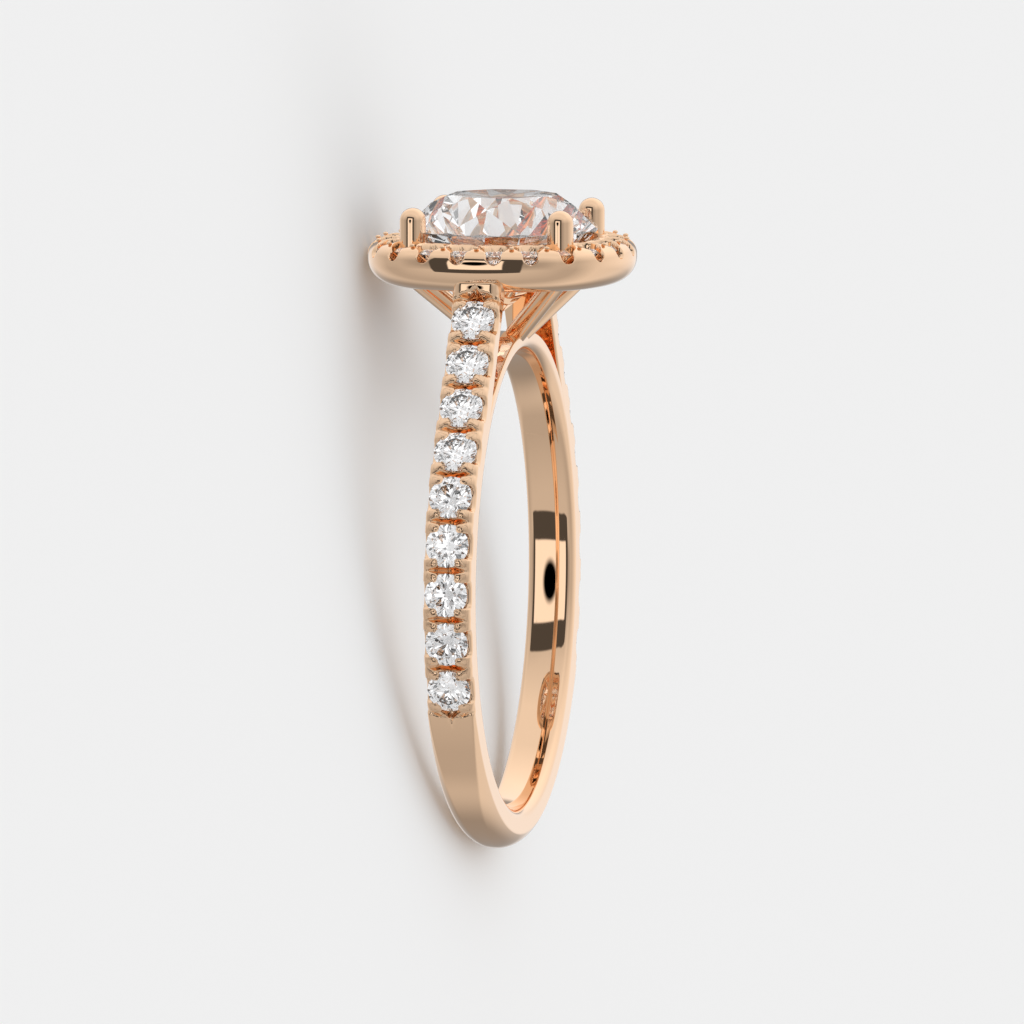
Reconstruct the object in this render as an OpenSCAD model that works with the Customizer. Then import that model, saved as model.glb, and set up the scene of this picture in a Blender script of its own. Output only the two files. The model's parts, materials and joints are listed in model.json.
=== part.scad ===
// Halo ring: a slender band with a row of small brilliants on each shoulder, two straight
// arms, a four-claw basket with a round brilliant, and a cushion-shaped halo of small stones.
// Each piece is drawn upright, with the finger along Y and the head towards +Z, and lay_down()
// turns it onto its side, where it rests on the halo's edge and on the foot of the band.
// The origin is the middle of the finger hole.

/* [Band] */
// Radius of the finger hole
finger_r = 8.25; // [7:0.05:9.5]
// Width of the band along the finger
band_w = 1.75; // [1.6:0.05:2.4]
// Thickness of the band
band_t = 1.47; // [1.3:0.01:2]
// Rounding of the two edges of the finger hole
comfort_r = 0.36; // [0.2:0.02:0.5]
// Rounding of the band's outer edges
band_edge_r = 0.15; // [0.05:0.01:0.25]
// Radius of the band's round back, at the foot
foot_r = 1; // [0.95:0.05:2]
// How much wider than the band the round back's circle is, so that it fades out up the sides
foot_fade = 0.75; // [0.5:0.05:2]

/* [Arms and bridge] */
// Thickness of the bridge over the finger hole, between the arms
bridge_t = 0.7; // [0.5:0.05:1]
// Thickness of an arm where it leaves the band
arm_t = 1.2; // [1.1:0.05:1.5]
// Thickness of an arm at its upper end
arm_tip_t = 0.85; // [0.85:0.05:1.1]
// How far inside the halo's edge the outer face of an arm reaches its underside
arm_inset = 0.3; // [0.2:0.05:0.6]
// How far an arm runs on into the halo
arm_in = 0.9; // [0.7:0.05:1]
// How far the round cap on an arm's end stands out from the halo's widest line
cap_out = 0.1; // [0.05:0.01:0.2]
// Height of the cap's top above the underside of the halo
cap_rise = 0.55; // [0.4:0.01:0.6]
// Radius of the cap's flat face
cap_face_r = 0.7; // [0.6:0.02:0.75]
// Thickness of the cap, from its face inwards
cap_t = 0.85; // [0.7:0.05:1]

/* [Shoulder stones] */
// Stones in each shoulder row
shoulder_count = 9; // [5:1:10]
// Radius of a shoulder stone
shoulder_r = 0.79; // [0.6:0.01:0.8]
// Distance between neighbouring shoulder stones along the band
shoulder_pitch = 1.794; // [1.7:0.01:2.2]
// Distance from the underside of the halo down the arm to its highest stone
shoulder_top = 1.01; // [1:0.05:1.6]
// Depth of a stone's girdle below the surface of the band
shoulder_sink = 0.08; // [0.02:0.01:0.15]
// Depth of the round scallops beside each stone
scallop_depth = 0.35; // [0.2:0.01:0.45]
// Width of a scallop at the surface of the band
scallop_w = 1.15; // [0.8:0.05:1.3]
// Radius of the beads that hold a shoulder stone
bead_r = 0.125; // [0.08:0.005:0.16]
// Width of the groove cut across the band between two stones
groove_w = 0.26; // [0.15:0.01:0.3]
// Length of that groove
groove_l = 1.3; // [1.2:0.02:1.5]
// How far a bead lies from the groove beside it
bead_off = 0.075; // [0.05:0.005:0.1]
// How far outside the edge of its stone a bead lies
bead_out = 0.02; // [0.01:0.005:0.05]
// Radius of the pit at each end of a row of stones, at the surface of the band
pit_r = 0.21; // [0.1:0.01:0.25]

/* [Basket and claws] */
// Height of the underside of the halo above the bridge
basket_h = 1.75; // [1.4:0.05:2.4]
// Radius of a rod of the basket
rod_r = 0.38; // [0.3:0.01:0.45]
// Half the distance between the feet of the rods, round the finger
foot_x = 0.5; // [0.4:0.05:0.8]
// Half the distance between the feet of the rods, along the finger
foot_y = 0.62; // [0.4:0.02:0.8]
// How far inside its claw a rod meets the halo
rod_in = 0.1; // [0:0.02:0.2]
// Radius of a claw
claw_r = 0.49; // [0.35:0.005:0.5]
// How far a claw reaches over the edge of the centre stone
claw_over = 0.09; // [0.05:0.01:0.15]
// Height of the claw tips above the girdle of the centre stone
claw_rise = 0.92; // [0.6:0.02:1]

/* [Centre stone] */
// Radius of the centre stone
centre_r = 3.45; // [3:0.05:3.5]
// Height of its girdle above the top of the halo
centre_lift = 0.32; // [0.3:0.02:0.8]

/* [Halo] */
// Half the width of the halo across its bowed sides
halo_half = 4.83; // [4.6:0.01:5.2]
// Radius of the bowed sides
side_r = 5.8; // [5.4:0.05:7]
// Radius of the rounded corners
corner_r = 3.73; // [3.2:0.01:3.9]
// Height of the halo
halo_h = 1.68; // [1.6:0.02:2.2]
// Height of its widest line above its underside
halo_belly = 1.05; // [0.9:0.01:1.2]
// How far the wall rounds in from its widest line to its top
halo_lean = 0.56; // [0.3:0.02:0.6]
// Width of the metal from the widest line to the inner wall
halo_w = 1.43; // [1.35:0.01:1.5]
// Width of the flat strip on the underside, beside the inner wall
halo_flat = 0.05; // [0.02:0.01:0.2]
// Stones in the halo, an even number
halo_count = 22; // [20:2:24]
// Radius of a halo stone
halo_stone_r = 0.48; // [0.4:0.01:0.5]
// How far inside the edge the ring of stones runs
halo_inset = 0.7; // [0.65:0.01:0.8]
// Depth of a halo stone's girdle below the top of the halo
halo_sink = 0.3; // [0.05:0.01:0.35]
// Width of the round-ended notch in the wall beside each stone
notch_w = 0.56; // [0.4:0.02:0.7]
// Depth of that notch below the top of the halo
notch_depth = 0.6; // [0.3:0.02:0.6]
// Radius of the beads between halo stones
halo_bead_r = 0.12; // [0.08:0.005:0.15]
// Distance of those beads from the stones' line, on either side
halo_bead_run = 0.35; // [0.3:0.01:0.4]

/* [Cut of the stones] */
// Width of the table as a share of the stone's width
table_share = 0.57; // [0.53:0.01:0.62]
// Height of a small stone's crown as a share of its width
crown_share = 0.14; // [0.13:0.005:0.17]
// Height of the centre stone's crown as a share of its width
centre_crown_share = 0.17; // [0.13:0.005:0.17]
// Depth of the pavilion as a share of the stone's width
pavilion_share = 0.43; // [0.4:0.005:0.45]
// Thickness of the girdle as a share of the stone's width
girdle_share = 0.02; // [0.01:0.005:0.03]

/* [Fits] */
// Gap between a stone and the metal round it
stone_gap = 0.03; // [0.02:0.005:0.05]

/* [Hidden] */
$fn = 64;
cut_over = 1;
bend_steps = 6;
halo_steps = 44;

outer_r = finger_r + band_t;
bridge_r = finger_r + bridge_t;
halo_bottom = bridge_r + basket_h;
halo_top = halo_bottom + halo_h;
belly_z = halo_bottom + halo_belly;
halo_under = halo_w - halo_flat;
girdle_z = halo_top + centre_lift;
claw_top = girdle_z + claw_rise;
claw_xy = (centre_r + claw_r - claw_over) / sqrt(2);

// The arms' outer faces touch the band's circle and meet the underside of the halo
arm_top_x = halo_half - arm_inset;
arm_top_far = norm([arm_top_x, halo_bottom]);
arm_angle = atan2(halo_bottom, arm_top_x) - acos(outer_r / arm_top_far);
arm_len = sqrt(pow(arm_top_far, 2) - pow(outer_r, 2));
arm_taper = atan2(arm_t - arm_tip_t, arm_len);

// The corners' arcs run into the sides' arcs: the corner centre lies at [corner_c, corner_c]
side_c = halo_half - side_r;
corner_c = (side_c + sqrt(2 * pow(side_r - corner_r, 2) - pow(side_c, 2))) / 2;
side_half_angle = atan2(corner_c, corner_c - side_c);
corner_angle = 90 - 2 * side_half_angle;

// Tilt of the resting ring: the floor touches the halo's widest line and the foot's edge
foot_out = outer_r - 0.02;
foot_edge = foot_out - foot_r + sqrt(pow(foot_r, 2) - pow(band_w / 2, 2));
rest_tilt = atan2(halo_half - band_w / 2, belly_z + foot_edge);

halo_names = [for (i = [1:halo_count]) str("halo_stone_", i < 10 ? "0" : "", i)];
left_names = [for (i = [1:shoulder_count]) str("left_shoulder_stone_", i)];
right_names = [for (i = [1:shoulder_count]) str("right_shoulder_stone_", i)];

// Lays the upright ring on its side
module lay_down() {
    rotate([0, -rest_tilt, 0]) rotate([-90, 0, -90]) children();
}

// Point, on the outline of the ring, s along it from where the arm leaves the circle
function shoulder_angle(s) = s < 0 ? arm_angle + s / outer_r * 180 / PI : arm_angle;
function shoulder_point(s) =
    let (a = shoulder_angle(s), run = max(s, 0))
    [outer_r * cos(a) - run * sin(a), 0, outer_r * sin(a) + run * cos(a)];
function shoulder_s(i) = arm_len - shoulder_top - i * shoulder_pitch;

// Stands a piece on the shoulder, its Z pointing away from the band and its X down it
module on_shoulder(s) {
    translate(shoulder_point(s)) rotate([0, 90 - shoulder_angle(s), 0]) children();
}

module both_sides() {
    for (turn = [0, 180]) rotate([0, 0, turn]) children();
}

// Distance of a stone from the middle of the halo's side, along the stones' line
function halo_side_run() = (side_r - halo_inset) * side_half_angle * PI / 180;
function halo_corner_run() = (corner_r - halo_inset) * corner_angle * PI / 180;
function halo_quarter() = 2 * halo_side_run() + halo_corner_run();
function halo_pitch() = 4 * halo_quarter() / halo_count;

// Place and outward angle on the stones' line, run along it from the middle of the +X side
function halo_place(run, inset) =
    let (
        quarter = floor(run / halo_quarter()),
        part = run - quarter * halo_quarter(),
        on_first = part < halo_side_run(),
        on_corner = !on_first && part < halo_side_run() + halo_corner_run(),
        side_turn = part / (side_r - halo_inset) * 180 / PI,
        corner_turn = side_half_angle
            + (part - halo_side_run()) / (corner_r - halo_inset) * 180 / PI,
        last_turn = 90 - (halo_quarter() - part) / (side_r - halo_inset) * 180 / PI,
        a = on_first ? side_turn : on_corner ? corner_turn : last_turn,
        middle = on_first ? [side_c, 0] : on_corner ? [corner_c, corner_c] : [0, side_c],
        r = (on_corner ? corner_r : side_r) - inset,
        p = middle + r * [cos(a), sin(a)],
        q = quarter * 90
    )
    [p.x * cos(q) - p.y * sin(q), p.x * sin(q) + p.y * cos(q), a + q];

// Stands a piece on the halo, its X pointing outwards; step counts stones and half steps gaps
module on_halo(step, inset, z) {
    place = halo_place(step * halo_pitch(), inset);
    translate([place.x, place.y, z]) rotate([0, 0, place.z]) children();
}

// Corner points of a round brilliant: table, star tips, girdle, pavilion breaks and culet.
// Kites and pavilion mains are flat because their side points lie on the line of their ridge.
function ring_points(r, z, count, start) =
    [for (i = [0:count - 1]) [r * cos(start + i * 360 / count), r * sin(start + i * 360 / count), z]];

// A round brilliant of girdle radius r, its girdle's middle at the origin, its table up
module brilliant(r, crown) {
    half_girdle = girdle_share * r;
    table_z = half_girdle + 2 * crown * r;
    culet_z = -half_girdle - 2 * pavilion_share * r;
    table_r = table_share * r;
    star_r = (table_r * cos(22.5) + r) / 2;
    star_z = half_girdle + (table_z - half_girdle) * (r - star_r * cos(22.5)) / (r - table_r);
    break_r = 0.25 * r;
    break_z = culet_z + (-half_girdle - culet_z) * break_r * cos(22.5) / r;
    points = concat(
        ring_points(table_r, table_z, 8, 0),
        ring_points(star_r, star_z, 8, 22.5),
        ring_points(r, half_girdle, 16, 0),
        ring_points(r, -half_girdle, 16, 0),
        ring_points(break_r, break_z, 8, 22.5),
        [[0, 0, culet_z]]
    );
    star = 8;
    upper = 16;
    lower = 32;
    turn = 48;
    culet = 56;
    faces = concat(
        [[for (i = [7:-1:0]) i]],
        [for (i = [0:7]) [i, (i + 1) % 8, star + i]],
        [for (i = [0:7]) [i, star + i, upper + 2 * i, star + (i + 7) % 8]],
        [for (i = [0:7]) [star + i, upper + 2 * i + 1, upper + 2 * i]],
        [for (i = [0:7]) [star + i, upper + (2 * i + 2) % 16, upper + 2 * i + 1]],
        [for (i = [0:15]) [upper + i, upper + (i + 1) % 16, lower + (i + 1) % 16, lower + i]],
        [for (i = [0:7]) [lower + 2 * i, lower + 2 * i + 1, turn + i]],
        [for (i = [0:7]) [lower + 2 * i + 1, lower + (2 * i + 2) % 16, turn + i]],
        [for (i = [0:7]) [lower + 2 * i, turn + i, culet, turn + (i + 7) % 8]]
    );
    polyhedron(points, faces);
}

// The room that a stone of girdle radius r takes, with a gap round it
module stone_room(r, crown, gap) {
    half_girdle = girdle_share * r + gap;
    rotate_extrude() polygon([
        [0, -half_girdle - 2 * pavilion_share * r - gap],
        [r + gap, -half_girdle],
        [r + gap, half_girdle],
        [table_share * r + gap, half_girdle + 2 * crown * r + gap],
        [0, half_girdle + 2 * crown * r + gap]
    ]);
}

// The hole that a stone is lowered into: its pavilion's cone with a straight shaft above
module stone_seat(r, shaft) {
    half_girdle = girdle_share * r + stone_gap;
    rotate_extrude() polygon([
        [0, -half_girdle - 2 * pavilion_share * r - stone_gap],
        [r + stone_gap, -half_girdle],
        [r + stone_gap, shaft],
        [0, shaft]
    ]);
}

// Cross-section of the band or an arm: from inner to outer radius, outer edges rounded
module band_section(inner, outer) {
    r = band_edge_r;
    translate([inner, -band_w / 2]) square([outer - r - inner, band_w]);
    translate([inner, r - band_w / 2]) square([outer - inner, band_w - 2 * r]);
    for (side = [-1, 1]) translate([outer - r, side * (band_w / 2 - r)]) circle(r);
}

// A stretch of the band round the finger, from angle start over angle sweep
module band_arc(outer, start, sweep) {
    rotate([90, 0, 0]) rotate([0, 0, start]) rotate_extrude(angle = sweep, $fn = 180)
        band_section(finger_r - bridge_t / 2, outer);
}

// The straight arm on the +X side, thinner towards its upper end and sunk into the halo
module arm() {
    rotate([0, -arm_angle, 0]) difference() {
        linear_extrude(arm_len + arm_in) band_section(outer_r - arm_t, outer_r);
        translate([outer_r - arm_t, 0, 0]) rotate([0, arm_taper, 0]) translate([-arm_t, -band_w, 0])
            cube([arm_t, 2 * band_w, 2 * arm_len]);
    }
}

// The upright cap that rounds off the arm's end, proud of the halo's wall
module arm_cap() {
    round_r = (pow(band_w / 2, 2) + pow(cap_rise, 2)) / (2 * cap_rise);
    face_x = halo_half + cap_out;
    middle_x = face_x - sqrt(pow(round_r, 2) - pow(cap_face_r, 2));
    intersection() {
        translate([face_x - cap_t, -band_w / 2, halo_bottom - cap_t])
            cube([cap_t, band_w, 2 * round_r]);
        translate([middle_x, 0, halo_bottom + cap_rise - round_r]) sphere(round_r);
    }
}

// The finger hole, with rounded edges on both sides of the band
module finger_hole() {
    straight = band_w - 2 * comfort_r;
    rotate([90, 0, 0]) {
        cylinder(h = band_w + 2 * cut_over, r = finger_r, center = true, $fn = 180);
        rotate_extrude($fn = 180) difference() {
            square_r = finger_r + comfort_r;
            translate([finger_r - comfort_r, -band_w / 2 - cut_over])
                square([square_r - finger_r + comfort_r, band_w + 2 * cut_over]);
            translate([finger_r, -straight / 2]) square([comfort_r + cut_over, straight]);
            for (side = [-1, 1]) translate([square_r, side * straight / 2]) circle(comfort_r);
        }
    }
}

// What is taken off the foot of the band, so that its back is round there
module foot_rounding() {
    middle_r = foot_out + foot_fade - foot_r;
    rotate([90, 0, 0]) difference() {
        translate([-outer_r - cut_over, -outer_r - cut_over, -band_w])
            cube([2 * (outer_r + cut_over), outer_r + cut_over, 2 * band_w]);
        translate([0, foot_fade, 0]) rotate_extrude($fn = 180) {
            translate([0, -foot_r]) square([middle_r, 2 * foot_r]);
            translate([middle_r, 0]) circle(foot_r);
        }
    }
}

// The round scallops that let light into each shoulder stone from both sides of the band
module scallop() {
    r = (pow(scallop_w / 2, 2) + pow(scallop_depth, 2)) / (2 * scallop_depth);
    translate([0, 0, r - scallop_depth]) rotate([90, 0, 0])
        cylinder(h = band_w + 2 * cut_over, r = r, center = true);
}

// The groove cut across the band between two shoulder stones
module groove() {
    translate([0, 0, groove_w / sqrt(2) - groove_w / 2]) rotate([90, 0, 0]) rotate([0, 0, 45])
        cube([groove_w, groove_w, groove_l], center = true);
}

// The small pointed pit cut beside the first and the last stone of a row
module end_pit() {
    translate([shoulder_r + pit_r / 2, 0, -pit_r]) cylinder(h = 2 * pit_r, r1 = 0, r2 = 2 * pit_r);
}

// The four beads that hold a shoulder stone, trimmed where they lie over its crown
module shoulder_beads() {
    along = shoulder_pitch / 2 - groove_w / 2 - bead_off;
    across = sqrt(pow(shoulder_r + bead_out, 2) - pow(along, 2));
    difference() {
        for (x = [-along, along], y = [-across, across]) translate([x, y, 0])
            sphere(bead_r, $fn = 24);
        translate([0, 0, -shoulder_sink]) stone_room(shoulder_r, crown_share, stone_gap);
    }
}

// Points on a quarter ellipse about middle, half-widths run and rise, from angle start to end
function quarter_ellipse(middle, run, rise, start, end) =
    [for (i = [0:bend_steps]) let (t = start + (end - start) * i / bend_steps)
        middle + [run * cos(t), rise * sin(t)]];

// Cross-section of the halo as [inset from the widest line, height]: rounded above and
// curving in below, with an upright inner wall
function halo_section() = concat(
    [[halo_w, halo_h], [halo_w, 0]],
    quarter_ellipse([halo_under, halo_belly], -halo_under, halo_belly, -90, 0),
    quarter_ellipse([halo_lean, halo_belly], -halo_lean, halo_h - halo_belly, 90 / bend_steps, 90)
);

// The plain cushion-shaped body of the halo: its cross-section carried round the outline
module halo_body() {
    section = halo_section();
    n = len(section);
    points = [for (i = [0:halo_steps - 1], p = section)
        let (place = halo_place(i * 4 * halo_quarter() / halo_steps, p.x))
        [place.x, place.y, halo_bottom + p.y]];
    faces = [for (i = [0:halo_steps - 1], j = [0:n - 1]) let (k = (i + 1) % halo_steps)
        [i * n + j, i * n + (j + 1) % n, k * n + (j + 1) % n, k * n + j]];
    polyhedron(points, faces);
}

// The notch in the halo's wall beside a stone, its axis pointing outwards
module wall_notch() {
    rotate([0, 90, 0]) cylinder(h = halo_inset + cut_over, r = notch_w / 2);
    translate([0, -notch_w / 2, 0]) cube([halo_inset + cut_over, notch_w, notch_depth + cut_over]);
}

// A rod of the basket from its foot on the bridge to the claw above it
module rod() {
    foot = [foot_x, foot_y, bridge_r];
    top_xy = claw_xy - rod_in;
    top = [top_xy, top_xy, halo_bottom + rod_r];
    run = top - foot;
    translate(foot) rotate([0, acos(run.z / norm(run)), atan2(run.y, run.x)])
        cylinder(h = norm(run), r = rod_r);
    translate(foot) sphere(rod_r);
    translate(top) sphere(rod_r);
}

// A claw with a round tip, cut out where the centre stone and two halo stones reach into it
module claw() {
    foot_z = halo_bottom + rod_r;
    difference() {
        translate([claw_xy, claw_xy, 0]) {
            translate([0, 0, foot_z]) cylinder(h = claw_top - claw_r - foot_z, r = claw_r);
            translate([0, 0, claw_top - claw_r]) sphere(claw_r);
        }
        translate([0, 0, girdle_z]) stone_room(centre_r, centre_crown_share, stone_gap);
        for (i = [-1, 0]) on_halo(round(halo_count / 8 + i) + 0.5, halo_inset, halo_top - halo_sink)
            stone_room(halo_stone_r, crown_share, 1.3 * stone_gap);
    }
}

// Repeats the corner between +X and +Y at the other three, mirrored or turned to fit
module four_corners() {
    for (flip = [0, 1]) mirror([flip, 0, 0]) both_sides() children();
}

// The metal before any stone is let in
module plain_metal() {
    mirror([0, 1, 0]) band_arc(outer_r, 180 - arm_angle, 180 + 2 * arm_angle);
    mirror([0, 1, 0]) band_arc(bridge_r, arm_angle, 180 - 2 * arm_angle);
    both_sides() arm();
    both_sides() arm_cap();
    halo_body();
    four_corners() rod();
}

// All the metal: band, bridge, arms, basket, claws and halo, cast and soldered into one piece
module shank_and_setting() {
    color("#D9A582") lay_down() {
        difference() {
            plain_metal();
            finger_hole();
            foot_rounding();
            both_sides() for (i = [0:shoulder_count - 1]) on_shoulder(shoulder_s(i)) {
                translate([0, 0, -shoulder_sink]) stone_seat(shoulder_r, cut_over);
                scallop();
                if (i > 0) translate([-shoulder_pitch / 2, 0, 0]) groove();
                if (i == 0) mirror([1, 0, 0]) end_pit();
                if (i == shoulder_count - 1) end_pit();
            }
            for (i = [1:halo_count]) on_halo(i - 0.5, halo_inset, halo_top) {
                translate([0, 0, -halo_sink]) stone_seat(halo_stone_r, cut_over);
                translate([0, 0, notch_w / 2 - notch_depth]) wall_notch();
            }
        }
        four_corners() claw();
        both_sides() for (i = [0:shoulder_count - 1]) on_shoulder(shoulder_s(i)) shoulder_beads();
        for (i = [1:halo_count], side = [-1, 1])
            on_halo(i, halo_inset + side * halo_bead_run, halo_top) sphere(halo_bead_r, $fn = 24);
    }
}

module centre_stone() {
    color("white") lay_down() translate([0, 0, girdle_z])
        brilliant(centre_r, centre_crown_share);
}

module shoulder_stone(turn, i) {
    color("white") lay_down() rotate([0, 0, turn]) on_shoulder(shoulder_s(i))
        translate([0, 0, -shoulder_sink]) brilliant(shoulder_r, crown_share);
}

module halo_stone(i) {
    color("white") lay_down() on_halo(i - 0.5, halo_inset, halo_top - halo_sink)
        brilliant(halo_stone_r, crown_share);
}

shank_and_setting();
centre_stone();
for (i = [1:shoulder_count])
    shoulder_stone(180, i - 1);
for (i = [1:shoulder_count])
    shoulder_stone(0, i - 1);
for (i = [1:halo_count]) halo_stone(i);
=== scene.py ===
"""Dresses the halo ring: polished rose gold and cut diamonds, on a pale studio floor.

Every shape is worked out upright, in millimetres, with the finger along Y and the head towards
+Z, as a jeweller draws it. to_row() then lays it on its side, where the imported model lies.
"""
import json

import bpy
import numpy as np
from mathutils import Matrix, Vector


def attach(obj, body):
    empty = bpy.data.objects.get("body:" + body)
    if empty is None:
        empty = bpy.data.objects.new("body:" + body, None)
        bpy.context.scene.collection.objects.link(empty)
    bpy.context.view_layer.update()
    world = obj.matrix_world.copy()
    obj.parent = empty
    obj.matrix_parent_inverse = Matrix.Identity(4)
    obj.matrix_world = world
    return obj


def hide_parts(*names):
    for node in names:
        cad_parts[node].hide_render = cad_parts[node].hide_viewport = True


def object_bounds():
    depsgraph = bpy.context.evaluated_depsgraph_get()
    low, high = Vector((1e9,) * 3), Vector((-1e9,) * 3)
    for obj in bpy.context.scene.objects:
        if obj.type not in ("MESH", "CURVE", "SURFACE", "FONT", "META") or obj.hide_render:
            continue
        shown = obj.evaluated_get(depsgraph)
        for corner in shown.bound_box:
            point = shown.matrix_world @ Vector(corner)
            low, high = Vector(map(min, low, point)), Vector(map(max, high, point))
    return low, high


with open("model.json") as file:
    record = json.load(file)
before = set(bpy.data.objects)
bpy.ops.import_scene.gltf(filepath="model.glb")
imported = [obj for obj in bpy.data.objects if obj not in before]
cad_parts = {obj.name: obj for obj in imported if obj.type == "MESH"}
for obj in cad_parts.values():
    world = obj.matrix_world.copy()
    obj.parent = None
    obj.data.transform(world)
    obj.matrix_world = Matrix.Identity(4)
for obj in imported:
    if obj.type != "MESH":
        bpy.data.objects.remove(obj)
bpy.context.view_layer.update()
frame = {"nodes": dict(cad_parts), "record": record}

# Band and arms, in millimetres: the finger hole, the band, its edges, the slightly domed inner
# face, the round back at the foot, the bridge and the arms
FINGER_R = 8.25
BAND_W = 1.75
BAND_T = 1.47
OUTER_R = FINGER_R + BAND_T
HALF_W = BAND_W / 2
EDGE_R = 0.15
COMFORT_R = 0.34
COMFORT_DOME_R = 2.75
FOOT_R = 1.0
FOOT_FADE = 0.75
FOOT_OUT = OUTER_R - 0.02
BRIDGE_T = 0.7
BRIDGE_R = FINGER_R + BRIDGE_T
BRIDGE_EDGE_R = 0.08
BRIDGE_LET_IN = 0.3
HAIR = 0.002
ARM_T = 1.2
ARM_TIP_T = 0.85
ARM_INSET = 0.3
ARM_IN = 0.9
ARM_EDGE_R = 0.08

# Halo: its cushion outline, its cross-section, then its stones, notches, beads and low ridges
HALO_HALF = 4.83
SIDE_R = 5.8
CORNER_R = 3.73
HALO_H = 1.68
HALO_BELLY = 1.05
HALO_LEAN = 0.9
HALO_W = 1.43
HALO_FLAT = 0.05
HALO_COUNT = 22
HALO_STONE_R = 0.48
HALO_INSET = 0.7
HALO_SINK = 0.3
NOTCH_W = 0.54
NOTCH_DEPTH = 0.6
HALO_FULL = 2.35
HALO_TOP_FULL = 2.4
HALO_BEAD_RADII = (0.1, 0.1, 0.07)
HALO_BEAD_RUN = 0.35
HALO_BEAD_SINK = 0.02
HALO_LIP = 0.045
HALO_RIDGE_H = 0.03
HALO_RIDGE_HALF_L = 0.3
HALO_RIM_H = 0.02
HALO_RIM_START = 1.2
HALO_RIM_RUN = 0.09
HALO_BEVEL = 0.04
HALO_BOTTOM = BRIDGE_R + 1.75
HALO_TOP = HALO_BOTTOM + HALO_H

# Shoulder stones and what holds them: scallops beside the stones, ridges with round crests
# across the band, prongs over the stones' rims, and the cuts at the ends of a row
SHOULDER_COUNT = 9
SHOULDER_R = 0.79
SHOULDER_PITCH = 1.794
SHOULDER_TOP = 1.01
SHOULDER_SINK = 0.08
SCALLOP_DEPTH = 0.35
SCALLOP_HALF_L = 0.485
RIDGE_H = 0.045
RIDGE_OFF = 0.25
RIDGE_HALF_L = 0.22
CREST_ACROSS = 0.44
CREST_SLOPE = 0.45
CREST_SOFT = 0.11
PRONG_START = 0.463
PRONG_END = 0.78
PRONG_IN = 0.305
PRONG_OUT = 0.73
PRONG_CORNER_R = 0.14
PRONG_RISE = 0.012
PRONG_EDGE_R = 0.05
PRONG_GAP = 0.006
PRONG_SINK = 0.004
PRONG_FADE_RUN = 0.6
PRONG_FADE_ACROSS = 0.5
GROOVE_W = 0.32
GROOVE_SLOPE = 3.0
GROOVE_HALF_L = 0.75
GROOVE_SOFT = 0.02
FOOT_SOFT = 0.04
SEAT_GAP = 0.03
SEAT_BEVEL = 0.05
PIT_START = 0.8
PIT_OVERLAP = 0.2
PIT_SLOPE = 2.0
PIT_LENGTH_TOP = 0.45
PIT_LENGTH_LOW = 0.38
PIT_HALF_W_TOP = 0.3
PIT_HALF_W_LOW = 0.4
PIT_DEPTH = 0.28
LEAF_OFF = 0.94
LEAF_RISE = 0.3
LEAF_MIDDLE = 0.47
LEAF_HALF_L = 0.25
LEAF_HALF_W = 0.07
ROW_FADE = 0.12

# Under the halo an arm ends in an upright post: its bowed face, its rounded sides, and its top,
# which lies inside the halo
POST_FACE = 4.72
POST_BOW_R = 3.1
POST_EDGE_R = 0.33
POST_TOP = HALO_BOTTOM + 0.65
POST_ROUND_R = 0.38
POST_DOME_R = 1.6
POST_DOME_Z = 0.12

# Centre stone, claws and basket
CENTRE_R = 3.45
GIRDLE_Z = HALO_TOP + 0.32
CENTRE_CROWN = 0.17
CENTRE_TURN = np.radians(22.5)
CLAW_R = 0.475
CLAW_OVER = 0.09
CLAW_TOP = GIRDLE_Z + 0.92
CLAW_XY = (CENTRE_R + CLAW_R - CLAW_OVER) / np.sqrt(2)
ROD_R = 0.38
ROD_FOOT = np.array([0.5, 0.62, BRIDGE_R])
ROD_IN = 0.1

# Proportions of a round brilliant, as shares of its width
TABLE = 0.57
CROWN = 0.14
PAVILION = 0.43
GIRDLE = 0.02
PAVILION_BREAK = 0.125

# The arms leave the band's circle at this angle and run straight to the halo
ARM_TOP = np.array([HALO_HALF - ARM_INSET, HALO_BOTTOM])
ARM_TOP_FAR = np.hypot(*ARM_TOP)
ARM_ANGLE = np.arctan2(ARM_TOP[1], ARM_TOP[0]) - np.arccos(OUTER_R / ARM_TOP_FAR)
ARM_LEN = np.sqrt(ARM_TOP_FAR**2 - OUTER_R**2)

# The halo's corners run into its bowed sides
SIDE_C = HALO_HALF - SIDE_R
CORNER_C = (SIDE_C + np.sqrt(2 * (SIDE_R - CORNER_R) ** 2 - SIDE_C**2)) / 2
SIDE_TURN = np.arctan2(CORNER_C, CORNER_C - SIDE_C)
SIDE_RUN = (SIDE_R - HALO_INSET) * SIDE_TURN
CORNER_RUN = (CORNER_R - HALO_INSET) * (np.pi / 2 - 2 * SIDE_TURN)
QUARTER = 2 * SIDE_RUN + CORNER_RUN
HALO_PITCH = 4 * QUARTER / HALO_COUNT

# Row frame: the mount's axis says how far the resting ring is tipped
axis = frame["record"]["mounts"][0]["axis"]
TILT_SIN = -axis[0]
TILT_COS = axis[2]
RING_TO_ROW = np.array([[0, TILT_SIN, TILT_COS], [-1, 0, 0], [0, -TILT_COS, TILT_SIN]])

METRE = 0.001


def to_row(points):
    """Turns upright ring points in millimetres into row points in metres."""
    return points @ RING_TO_ROW.T * METRE


def make_piece(name, points, faces, material, replaced=(), smooth=True):
    """Makes one piece from ring points and rows of point numbers."""
    mesh = bpy.data.meshes.new(name)
    mesh.from_pydata(to_row(points).tolist(), [], [list(f) for f in faces])
    mesh.update()
    mesh.polygons.foreach_set("use_smooth", np.full(len(mesh.polygons), smooth))
    mesh.materials.append(material)
    piece = bpy.data.objects.new(name, mesh)
    bpy.context.scene.collection.objects.link(piece)
    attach(piece, "root")
    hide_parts(*replaced)
    return piece


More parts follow.
